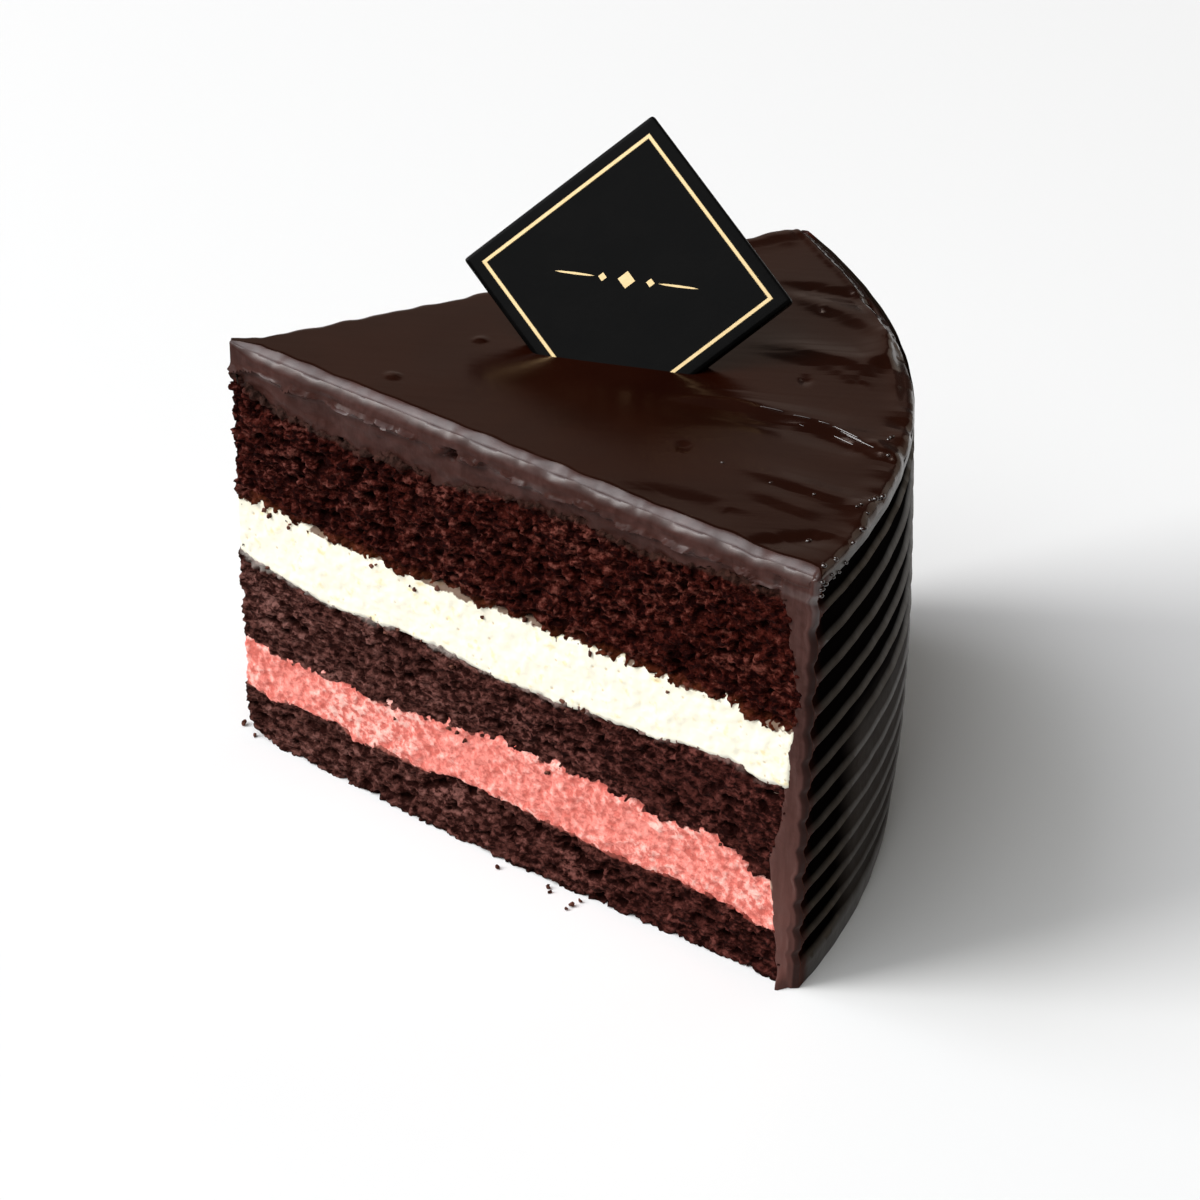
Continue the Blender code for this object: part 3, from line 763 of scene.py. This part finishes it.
def combed_skin():
    """Returns the skin's points, its outward directions, the size of its rounding and the painted shade in
    the flutes.
    """
    fraction = np.linspace(-1, 1, SKIN_COLUMNS)
    angles = fraction * HALF_ANGLE
    skin, outward = coat_row(angles)
    lateral = np.stack((-np.sin(angles), np.cos(angles), 0 * fraction), axis=-1)
    width = np.hypot(skin[:, 0, 0] - skin[:, -1, 0], skin[:, 0, 1] - skin[:, -1, 1])
    round_size = FRONT_ROUND + (SIDE_ROUND - FRONT_ROUND) * np.sin(edge_angles)
    round_size = np.minimum(round_size + 0.0005 * ripple(shares * 0.1, 0.0, 0.0, 0.004), width * 0.4)
    skin = skin - lateral[None] * (fraction[None, :, None] * round_size[:, None, None])

    on_wall = np.sin(edge_angles)[:, None]
    height = skin[..., 2].copy()
    from_front, from_back = from_cuts(skin)
    part = flute_part(height)
    off_middle = np.abs(2 * part - 1)
    ends = FLUTE_END + FLUTE_END_ROUND * (1 - np.sqrt(1 - np.minimum(off_middle, 1) ** 2))
    ends = smooth_step((np.minimum(from_front, from_back) - ends) / FLUTE_END_SOFT)
    shallow = smooth_step((SHALLOW_HEIGHT - height) / 0.002)
    shallow = shallow * smooth_step((from_front - SHALLOW_FROM_CUT) / 0.007)
    combed = (on_wall > 0.99) & (height < COMB_TOP) & (height > COMB_RIDGES[0])
    deep = ends * (1 - (1 - SHALLOW_SHARE) * shallow) * combed
    flute = 1 - np.minimum(off_middle / FLUTE_SHARE, 1) ** FLUTE_POWER
    wobble = COMB_WOBBLE * ripple(skin[..., 0] * 0.3, skin[..., 1] * 0.3, height * 0.2, 0.006) * ends * combed
    smear = WALL_SMEAR * ripple(skin[..., 0], skin[..., 1], height * 0.3, 0.004) * on_wall
    from_rim = (1 - shares[:, None]) * RIM_RADIUS + 0 * height
    top = stroke_relief(skin[..., 0], skin[..., 1]) + rim_lip(angles[None], from_rim)
    top = top + TOP_UNEVEN * ripple(skin[..., 0], skin[..., 1], 0.0, 0.012)
    skin = skin + outward * (smear - COMB_DEPTH * deep * flute + (1 - on_wall) * top)[..., None]
    skin[..., 2] += wobble + on_wall * (on_wall < 0.99) * rim_lip(angles[None], from_rim)
    # Painted shade: the upper part of each flute, under the ridge above, is marked for a near-black matt
    # colour in place of the shade that falls there
    hollow = smooth_step((part - FLUTE_SHADE_START) / FLUTE_SHADE_RISE) * smooth_step((1 - part) / 0.04)
    hollow = hollow * ends * combed
    return skin, outward, round_size, hollow


def cut_side(edge, out, round_size, side):
    """Returns the rounding and the face of one cut, from an edge of the skin inwards to the layers."""
    normal = np.array(CUT_NORMALS[side])
    turns = np.linspace(0, np.pi / 2, ROUND_COLUMNS + 2)[1:-1]
    flat = turns / (np.pi / 2)
    outwards = (ARC_SHARE * np.sin(turns) + (1 - ARC_SHARE) * flat)[None, :, None]
    inwards = (ARC_SHARE * (1 - np.cos(turns)) + (1 - ARC_SHARE) * flat)[None, :, None]
    rounding = edge[:, None] + round_size[:, None, None] * (outwards * normal - inwards * out[:, None])
    uneven = ripple(edge[:, None, 0], edge[:, None, 2] * 0.5 + turns[None] * 0.001, side * 0.01, 0.0022)
    rounding = rounding + ROUND_UNEVEN * (uneven * np.sin(2 * turns))[..., None] * (normal + out[:, None])
    start = edge + round_size[:, None] * (normal - out)
    direction = np.array((math.cos(HALF_ANGLE), side * math.sin(HALF_ANGLE)))
    reach = float(rim_reach(side * HALF_ANGLE))
    inner_corner = joint_height(GANACHE_LOW, reach - COAT, side < 0) - FILM_PAST
    distance = np.hypot(start[:, 0], start[:, 1])
    inner_distance = distance * (reach - COAT - OVERLAP) / reach
    on_rim = edge_angles >= np.pi / 2
    inner_height = joint_height(GANACHE_LOW, inner_distance, side < 0) - FILM_PAST
    inner_height = np.where(on_rim, inner_corner * start[:, 2] / (HEIGHT - TOP_ROUND), inner_height)
    inner_height = np.minimum(inner_height, np.where(on_rim, inner_corner, 1.0))
    inner = np.column_stack((inner_distance[:, None] * direction, inner_height))
    parts = np.linspace(0, 1, CUT_COLUMNS)
    face = start[:, None] * (1 - parts)[None, :, None] + inner[:, None] * parts[None, :, None]
    along = np.hypot(face[..., 0], face[..., 1])
    settle = smooth_step(parts / 0.1)[None]
    face = face + normal * (cut_relief(along, face[..., 2], side) * settle)[..., None]
    return rounding, face


def coat_places():
    """Returns the coat's points as rows by columns, which columns are cut, and the painted shade in the
    flutes.
    """
    skin, outward, round_size, hollow = combed_skin()
    back_cut = cut_side(skin[:, -1], outward[:, -1], round_size, 1)
    front_cut = [part[:, ::-1] for part in reversed(cut_side(skin[:, 0], outward[:, 0], round_size, -1))]
    parts = np.linspace(0, 1, INNER_COLUMNS + 2)[1:-1]
    angles = HALF_ANGLE * (1 - 2 * parts)
    hidden, _ = coat_row(angles)
    inset = (rim_reach(angles, COAT) / rim_reach(angles))[None, :, None]
    hidden = hidden * np.concatenate((np.repeat(inset, 2, axis=2), np.ones_like(inset)), axis=2)
    wall_share = hidden[..., 2] / (HEIGHT - TOP_ROUND)
    hidden[..., 2] = UNDERSIDE * np.where(edge_angles[:, None] >= np.pi / 2, wall_share, 1.0)
    places = np.concatenate([skin, *back_cut, hidden, *front_cut], axis=1)
    rounded = np.linspace(0, 1, ROUND_COLUMNS + 2)[1:-1]
    inside = np.ones(2 * CUT_COLUMNS + INNER_COLUMNS)
    is_cut = np.concatenate((np.zeros(SKIN_COLUMNS), rounded, inside, rounded[::-1]))
    flute_shades = np.concatenate((hollow, np.zeros((row_count, len(is_cut) - SKIN_COLUMNS))), axis=1)
    return places, is_cut, flute_shades


coat_grid, cut_columns, flute_shades = coat_places()
nearest_cut = np.minimum(*from_cuts(coat_grid))
column_count = coat_grid.shape[1]
bpy.ops.object.select_all(action="DESELECT")
bpy.ops.mesh.primitive_cylinder_add(vertices=column_count, radius=1.0, depth=2.0, end_fill_type="NGON")
coat = bpy.context.object
coat.name = coat.data.name = "ganache_coat"
start_editing(coat)
splits = row_count - 1
while splits > 1:
    parts = next((size for size in range(min(100, splits), 1, -1) if splits % size == 0), splits)
    select_edges(coat, lambda a, b: abs(a.z - b.z) > 1e-6 and abs(math.hypot(a.x, a.y) - 1) < 1e-3)
    bpy.ops.mesh.subdivide(number_cuts=parts - 1)
    splits //= parts
bpy.ops.object.mode_set(mode="OBJECT")
tube = read_points(coat)
column = np.round(np.arctan2(tube[:, 1], tube[:, 0]) / (2 * np.pi) * column_count).astype(int) % column_count
row = np.round((1 - tube[:, 2]) / 2 * (row_count - 1)).astype(int)
write_points(coat, coat_grid[row, column] + np.array(TIP))
start_editing(coat)
bpy.ops.mesh.select_all(action="SELECT")
bpy.ops.mesh.normals_make_consistent(inside=False)
bpy.ops.object.mode_set(mode="OBJECT")
bpy.ops.object.shade_smooth_by_angle(angle=math.radians(50))
store(coat, "cut", cut_columns[column])
# The painted shade in the flutes, kept for the combed ganache's material
store(coat, "hollow", flute_shades[row, column])
store(coat, "from_cut", nearest_cut[row, column] * IN_MILLIMETRES)
store(coat, "height", coat_grid[row, column, 2] * IN_MILLIMETRES)
smudge = np.zeros_like(nearest_cut)
for x_smudge, z_smudge, size in SMUDGES:
    away = np.hypot(np.hypot(coat_grid[..., 0], coat_grid[..., 1]) - x_smudge, coat_grid[..., 2] - z_smudge)
    smudge = np.maximum(smudge, smooth_step(1.6 - away / size) * (coat_grid[..., 1] < 0))
store(coat, "smudge", smudge[row, column])
is_cut, is_wall = cut_columns[column] > 0.05, edge_angles[row] > 1.2
for face in coat.data.polygons:
    corners = list(face.vertices)
    face.material_index = 2 if all(is_cut[corners]) else int(all(is_wall[corners]))

glaze = Finish("poured ganache", specular_ior_level=0.5, specular_tint=(1.0, 0.76, 0.62, 1.0))
cloud = glaze.noise(0.012, 3.0)
fine = glaze.noise(0.0009, 3.0)
brushed = glaze.noise(0.0007, 2.0, (0.05, 1.0, 1.0))
browns = glaze.mix(cloud.steps(0.35, 0.7), (0.0095, 0.0014, 0.0003), (0.0140, 0.0025, 0.0007))
glaze.wear_on(coat, "ganache", base_color=browns, roughness=0.13 + cloud * 0.14,
              normal=glaze.bump(fine, 0.000012, over=glaze.bump(brushed, 0.00002)))

combed = Finish("combed ganache", specular_ior_level=0.4, specular_tint=(1.0, 0.88, 0.76, 1.0))
# Painted shade: the marked upper part of each flute is near-black and matt, lighter where the flutes are
# shallow and reddish near the cuts
hollow = combed.kept("hollow")
fine = combed.noise(0.0009, 3.0)
at_end = combed.kept("from_cut").steps(4.2, 1.6)
shallow = combed.kept("height").steps(40, 33) * combed.kept("from_cut").steps(12, 19)
tone = combed.mix(at_end * 0.85, (0.018, 0.0120, 0.0082), (0.036, 0.0080, 0.0042))
flute_shade_tone = combed.mix(shallow, (0.0008, 0.0003, 0.0002), (0.0150, 0.0090, 0.0062))
flute_shade_tone = combed.mix(at_end * (1 - hollow * 0.7), flute_shade_tone, (0.044, 0.0105, 0.0060))
combed.paint_matt_shade(hollow * (0.99 - shallow * 0.25) + (1 - hollow) * at_end * 0.75, flute_shade_tone)
combed.wear_on(coat, "ganache", 1, base_color=tone, roughness=0.28 + fine * 0.12,
               normal=combed.bump(fine, 0.00006))

worked = Finish("cut ganache", specular_ior_level=0.08, coat_roughness=0.36)
cloud = worked.noise(0.008, 3.0)
fine = worked.noise(0.0009, 3.0)
drag = worked.noise(0.0014, 3.0, (1.0, 1.0, 0.12))
blotches = (fine * 0.5 + cloud * 0.5).steps(0.35, 0.65)
cut_browns = worked.mix(blotches, (0.033, 0.0110, 0.0080), (0.055, 0.0220, 0.0180))
cut_browns = worked.mix(worked.kept("height").steps(50, 8) * 0.8, cut_browns, (0.098, 0.040, 0.033))
cut_browns = worked.mix(worked.kept("smudge"), cut_browns, (0.62, 0.42, 0.33))
at_comb = worked.kept("cut").steps(1.0, 0.7) * worked.kept("height").steps(67, 62)
cut_browns = worked.mix(at_comb * 0.8, cut_browns, (0.018, 0.0048, 0.0030))
on_edge = worked.kept("cut").steps(1.0, 0.75) * worked.kept("height").steps(60, 66) * 0.85
on_lip = worked.kept("height").steps(66.3, 67.0) * worked.kept("height").steps(68.4, 67.8)
on_lip = on_lip * cloud.steps(0.45, 0.6)
worked.wear_on(coat, "ganache", 2, base_color=cut_browns, roughness=0.34 + fine * 0.16,
               coat_weight=on_edge + on_lip * 0.8,
               normal=worked.bump(fine, 0.00010, over=worked.bump(drag, 0.00025)))
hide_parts("ganache")
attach(coat, "root")

# Wet specks and fine ridges: drops of ganache that stayed glossy where the glaze ran over the rim and at
# the ends of strokes, and thin ridges that the spatula's edge left. They lie on the coat and set with it.

# Specks: place in plan from the tip, height, size
BEADS = (
    (0.0985, -0.0165, 0.0722, 0.00045), (0.0975, -0.0320, 0.0719, 0.00060),
    (0.0966, -0.0335, 0.0718, 0.00040), (0.0966, -0.0396, 0.0717, 0.00065),
    (0.0957, -0.0432, 0.0715, 0.00050), (0.0890, -0.0431, 0.0716, 0.00050),
    (0.0990, -0.0205, 0.0716, 0.00040), (0.0954, -0.0350, 0.0717, 0.00035),
    (0.0930, -0.0474, 0.0713, 0.00040), (0.0912, -0.0496, 0.0712, 0.00055),
    (0.0921, -0.0514, 0.0695, 0.00060), (0.0912, -0.0518, 0.0690, 0.00050),
    (0.0917, -0.0512, 0.0680, 0.00050), (0.0931, -0.0497, 0.0700, 0.00040),
    (0.0903, -0.0512, 0.0703, 0.00045), (0.0943, -0.0478, 0.0690, 0.00040),
    (0.0952, -0.0463, 0.0697, 0.00045), (0.0936, -0.0487, 0.0686, 0.00035),
    (0.0892, -0.0324, 0.0716, 0.00030), (0.0830, -0.0298, 0.0715, 0.00028),
    (0.0760, -0.0253, 0.0715, 0.00028), (0.0987, -0.0310, 0.0715, 0.00055),
    (0.0977, -0.0318, 0.0715, 0.00050), (0.0956, -0.0348, 0.0715, 0.00030),
    (0.0967, -0.0360, 0.0715, 0.00030), (0.0989, -0.0161, 0.0715, 0.00050),
    (0.0932, -0.0473, 0.0715, 0.00030),
)
# Ridges, in plan from the tip: start, end
STREAKS = (
    ((0.0848, -0.0119), (0.0875, -0.0126)), ((0.0885, -0.0131), (0.0902, -0.0138)),
    ((0.0850, -0.0130), (0.0870, -0.0140)), ((0.0905, -0.0141), (0.0945, -0.0171)),
    ((0.0915, -0.0152), (0.0962, -0.0188)), ((0.0925, -0.0164), (0.0972, -0.0199)),
    ((0.0903, -0.0155), (0.0950, -0.0190)), ((0.0800, -0.0101), (0.0835, -0.0112)),
)
STREAK_HALF_WIDTH = 0.00010
STREAK_HEIGHT = 0.00012


def join_bits(bits, name):
    """Joins small pieces to one, and names it."""
    choose(*bits)
    bpy.ops.object.join()
    bits[0].name = bits[0].data.name = name
    return bits[0]


def add_bit(place, scale, turn=0.0, subdivisions=3):
    """Adds a small flattened ball."""
    bpy.ops.object.select_all(action="DESELECT")
    bpy.ops.mesh.primitive_ico_sphere_add(subdivisions=subdivisions, radius=1.0, location=place, scale=scale,
                                          rotation=(0.0, 0.0, turn))
    bpy.ops.object.transform_apply(location=True, rotation=True, scale=True)
    bpy.ops.object.shade_smooth()
    return bpy.context.object


coat_skin = coat_grid[:, :SKIN_COLUMNS].reshape(-1, 3)
beads = []
for x_bead, y_bead, z_bead, size in BEADS:
    nearest = coat_skin[np.argmin(np.linalg.norm(coat_skin - (x_bead, y_bead, z_bead), axis=1))]
    beads.append(add_bit(TIP + Vector(nearest), (size, 0.8 * size, 0.6 * size), 20.0 * x_bead / size))
for start, end in STREAKS:
    middle = (np.array(start) + np.array(end)) / 2
    nearest = coat_skin[np.argmin(np.hypot(*(coat_skin[:, :2] - middle).T))]
    run = np.subtract(end, start)
    beads.append(add_bit(TIP + Vector((*middle, nearest[2])),
                         (np.hypot(*run) / 2, STREAK_HALF_WIDTH, STREAK_HEIGHT), math.atan2(run[1], run[0])))
specks = join_bits(beads, "ganache_specks")
wet = Finish("wet ganache", specular_ior_level=1.0)
wet_browns = wet.mix(wet.noise(0.002), (0.010, 0.0022, 0.0008), (0.020, 0.005, 0.002))
wet.wear_on(specks, "ganache", base_color=wet_browns, roughness=0.07 + wet.noise(0.001) * 0.06)
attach(specks, "root")


# Loose crumbs: small bits of sponge that the knife dragged out. They lie on the table in front of the
# slice and at its tip, and stick to both creams.

# Crumbs on the table, in plan from the tip: place, size
TABLE_CRUMBS = (
    (0.0444, -0.0297, 0.00045), (0.0526, -0.0335, 0.00040), (0.0530, -0.0346, 0.00030),
    (0.0566, -0.0373, 0.00050), (0.0577, -0.0362, 0.00035), (0.0559, -0.0383, 0.00030),
    (-0.0004, 0.0016, 0.00055), (0.0018, -0.0012, 0.00040),
)
CREAM_CRUMBS = 64
CRUMB_STAND_OFF = 0.0001

chance = random.Random("crumbs")
crumbs = [(Vector((x_crumb, y_crumb, 0.8 * size)), size) for x_crumb, y_crumb, size in TABLE_CRUMBS]
for number in range(CREAM_CRUMBS):
    side = -1 if number % 2 else 1
    joint = (WHITE_HIGH, WHITE_HIGH, PINK_HIGH, WHITE_LOW)[number // 2 % 4]
    along = chance.uniform(0.006, FRONT_REACH - COAT - 0.006)
    size = chance.uniform(0.00022, 0.00050)
    level = float(joint_height(joint, along, side < 0)) + chance.uniform(-0.0022, 0.0006)
    direction = Vector((math.cos(HALF_ANGLE), side * math.sin(HALF_ANGLE), 0.0))
    place = direction * along + CUT_NORMALS[side] * CRUMB_STAND_OFF + Vector((0.0, 0.0, level))
    crumbs.append((place, size))
bits = []
for place, size in crumbs:
    bit = add_bit(TIP + place, (size, size * chance.uniform(0.6, 0.9), size * 0.75), chance.uniform(0, 3), 2)
    for corner in bit.data.vertices:
        away = corner.co - TIP - place
        corner.co += away * 0.9 * noise.noise(corner.co / (0.9 * size))
    bits.append(bit)
loose = join_bits(bits, "loose_crumbs")
dry = Finish("loose crumb", roughness=0.8, specular_ior_level=0.03)
grit = dry.noise(0.0006, 3.0)
crumb_browns = dry.mix(grit.steps(0.35, 0.65), (0.040, 0.0130, 0.0085), (0.160, 0.066, 0.048))
dry.wear_on(loose, "dark_sponge", base_color=crumb_browns, normal=dry.bump(grit, 0.0003))
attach(loose, "root")


# The plaque: a thin square of black chocolate, cast in a mould with a bevelled edge, a fine gold border
# and a small plain ornament, pushed into the top on one corner so that it leans back.
PLAQUE_SIDE = 0.035
PLAQUE_THICKNESS = 0.0022
PLAQUE_CENTRE = Vector((0.0588, 0.0076, 0.0814))
PLAQUE_YAW = math.radians(-7.4)
PLAQUE_LEAN = math.radians(38.0)
PLAQUE_BEVEL = 0.0007
BORDER_INSET = 0.0020
BORDER_WIDTH = 0.00045
BORDER_EDGE = 0.00008
BORDER_RAISED = 0.00006
# Marks of a small plain ornament, mirrored about the middle: distance from the middle, width, height
MOTIF = ((0.0, 0.0026, 0.0026), (0.0036, 0.0013, 0.0013), (0.0078, 0.0060, 0.00035))


def select_faces(piece, test):
    """Selects the faces that pass a test of their middle and direction."""
    bpy.ops.mesh.select_mode(type="FACE")
    bpy.ops.mesh.select_all(action="DESELECT")
    mesh = bmesh.from_edit_mesh(piece.data)
    for face in mesh.faces:
        face.select_set(bool(test(face.calc_center_median(), face.normal, face.calc_area())))
    bmesh.update_edit_mesh(piece.data)


bpy.ops.object.select_all(action="DESELECT")
bpy.ops.mesh.primitive_cube_add(size=1.0, location=(0.0, PLAQUE_THICKNESS / 2, 0.0),
                                scale=(PLAQUE_SIDE, PLAQUE_THICKNESS, PLAQUE_SIDE))
plaque = bpy.context.object
plaque.name = plaque.data.name = "plaque_plate"
bpy.ops.object.transform_apply(location=True, rotation=False, scale=True)
start_editing(plaque)
select_faces(plaque, lambda middle, normal, area: normal.y < -0.9)
bpy.ops.mesh.inset(thickness=BORDER_INSET, depth=0.0)
bpy.ops.mesh.inset(thickness=BORDER_EDGE, depth=BORDER_RAISED)
bpy.ops.mesh.inset(thickness=BORDER_WIDTH, depth=0.0)
bpy.ops.mesh.inset(thickness=BORDER_EDGE, depth=-BORDER_RAISED)
bpy.ops.mesh.select_mode(type="EDGE")
select_edges(plaque, lambda a, b: min(max(abs(a.x), abs(a.z)), max(abs(b.x), abs(b.z))) > PLAQUE_SIDE * 0.499)
bpy.ops.mesh.bevel(offset=PLAQUE_BEVEL, segments=4, profile=0.6)
bpy.ops.object.mode_set(mode="OBJECT")
turn = Matrix.Rotation(PLAQUE_YAW, 4, "Z") @ Matrix.Rotation(-PLAQUE_LEAN, 4, "X")
turn = turn @ Matrix.Rotation(math.radians(45.0), 4, "Y")
motif = []
for across, width, height in MOTIF:
    for reach in {across, -across}:
        bpy.ops.mesh.primitive_cylinder_add(vertices=4 if width == height else 8, radius=0.5,
                                            depth=2 * BORDER_RAISED, rotation=(math.radians(90.0), 0.0, 0.0))
        mark = bpy.context.object
        mark.scale = (width, height, 1.0)
        bpy.ops.object.transform_apply(location=False, rotation=True, scale=True)
        level = Matrix.Rotation(math.radians(-45.0), 4, "Y")
        mark.data.transform(level @ Matrix.Translation((reach, 0.0, 0.0)))
        motif.append(mark)
choose(plaque, *motif)
bpy.ops.object.join()
for face in plaque.data.polygons:
    face.material_index = int(face.center.y < -0.4 * BORDER_RAISED)
plaque.data.transform(Matrix.Translation(TIP + PLAQUE_CENTRE) @ turn)
choose(plaque)
bpy.ops.object.shade_smooth_by_angle(angle=math.radians(30))

black = Finish("black chocolate", specular_ior_level=0.04)
bloom = black.noise(0.004, 3.0)
blacks = black.mix(bloom.steps(0.4, 0.7), (0.0013, 0.0013, 0.0013), (0.0022, 0.0021, 0.0020))
black.wear_on(plaque, "black_chocolate", base_color=blacks, roughness=0.2 + bloom * 0.1,
              normal=black.bump(black.noise(0.0006, 2.0), 0.00002))
gold = Finish("gold border", metallic=1.0)
leaf = gold.noise(0.0008, 3.0)
golds = gold.mix(leaf, (0.50, 0.36, 0.17), (0.72, 0.57, 0.33))
gold.wear_on(plaque, "black_chocolate", index=1, base_color=golds, roughness=0.35 + leaf * 0.2)
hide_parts("plaque")
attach(plaque, "root")


# The table: a plain pale sheet under the slice, lit by a broad soft light from the left, with dimmer
# ones high on the left, overhead, behind and on the right. The camera looks down on the front cut.
FLOOR_SIZE = 8.0
FLOOR_DROP = 0.00005
CAMERA_TARGET = Vector((0.0572, -0.0083, 0.0355))
CAMERA_DISTANCE = 0.524
CAMERA_AZIMUTH = math.radians(5.9)
CAMERA_ELEVATION = math.radians(33.9)
CAMERA_ROLL = math.radians(0.78)
LENS = 105.0
SENSOR = 36.0

bpy.ops.object.select_all(action="DESELECT")
bpy.ops.mesh.primitive_plane_add(size=FLOOR_SIZE, location=(0.0, 0.0, -FLOOR_DROP))
floor = bpy.context.object
floor.name = "table_sheet"
paper = Finish("pale sheet", roughness=0.8, specular_ior_level=0.1, base_color=(0.815, 0.82, 0.818, 1.0))
floor.data.materials.append(paper.material)


def soft_light(name, azimuth, elevation, distance, size, power, colour):
    """Adds a square soft light that looks at the slice."""
    azimuth, elevation = math.radians(azimuth), math.radians(elevation)
    away = Vector((math.cos(azimuth) * math.cos(elevation), math.sin(azimuth) * math.cos(elevation),
                   math.sin(elevation)))
    bpy.ops.object.light_add(type="AREA", location=away * distance)
    lamp = bpy.context.object
    lamp.name = name
    lamp.data.size = size
    lamp.data.energy = power
    lamp.data.color = colour
    lamp.rotation_euler = away.to_track_quat("Z", "Y").to_euler()
    return lamp


soft_light("left soft light", 195.0, 33.0, 6.0, 2.6, 280.0, (1.0, 0.99, 0.975))
soft_light("high left soft light", 176.0, 55.0, 4.0, 1.9, 52.0, (0.95, 0.95, 1.0))
soft_light("overhead soft light", 230.0, 63.0, 2.4, 2.2, 39.0, (0.97, 0.985, 1.0))
soft_light("back card", 107.0, 19.0, 3.0, 2.1, 3.3, (1.0, 0.74, 0.62))
soft_light("right card", 45.0, 25.0, 3.0, 2.4, 10.5, (1.0, 0.90, 0.78))
world = bpy.data.worlds.new("studio")
bpy.context.scene.world = world
world.use_nodes = True
world.node_tree.nodes["Background"].inputs["Color"].default_value = (0.055, 0.055, 0.052, 1.0)
bpy.context.scene.view_settings.view_transform = "Standard"

back = Vector((math.sin(CAMERA_AZIMUTH) * math.cos(CAMERA_ELEVATION),
               -math.cos(CAMERA_AZIMUTH) * math.cos(CAMERA_ELEVATION), math.sin(CAMERA_ELEVATION)))
bpy.ops.object.camera_add(location=TIP + CAMERA_TARGET + back * CAMERA_DISTANCE)
camera = bpy.context.object
towards = back.to_track_quat("Z", "Y").to_matrix()
camera.rotation_euler = (towards @ Matrix.Rotation(CAMERA_ROLL, 3, "Z")).to_euler()
camera.data.lens = LENS
camera.data.sensor_width = SENSOR
bpy.context.scene.camera = camera
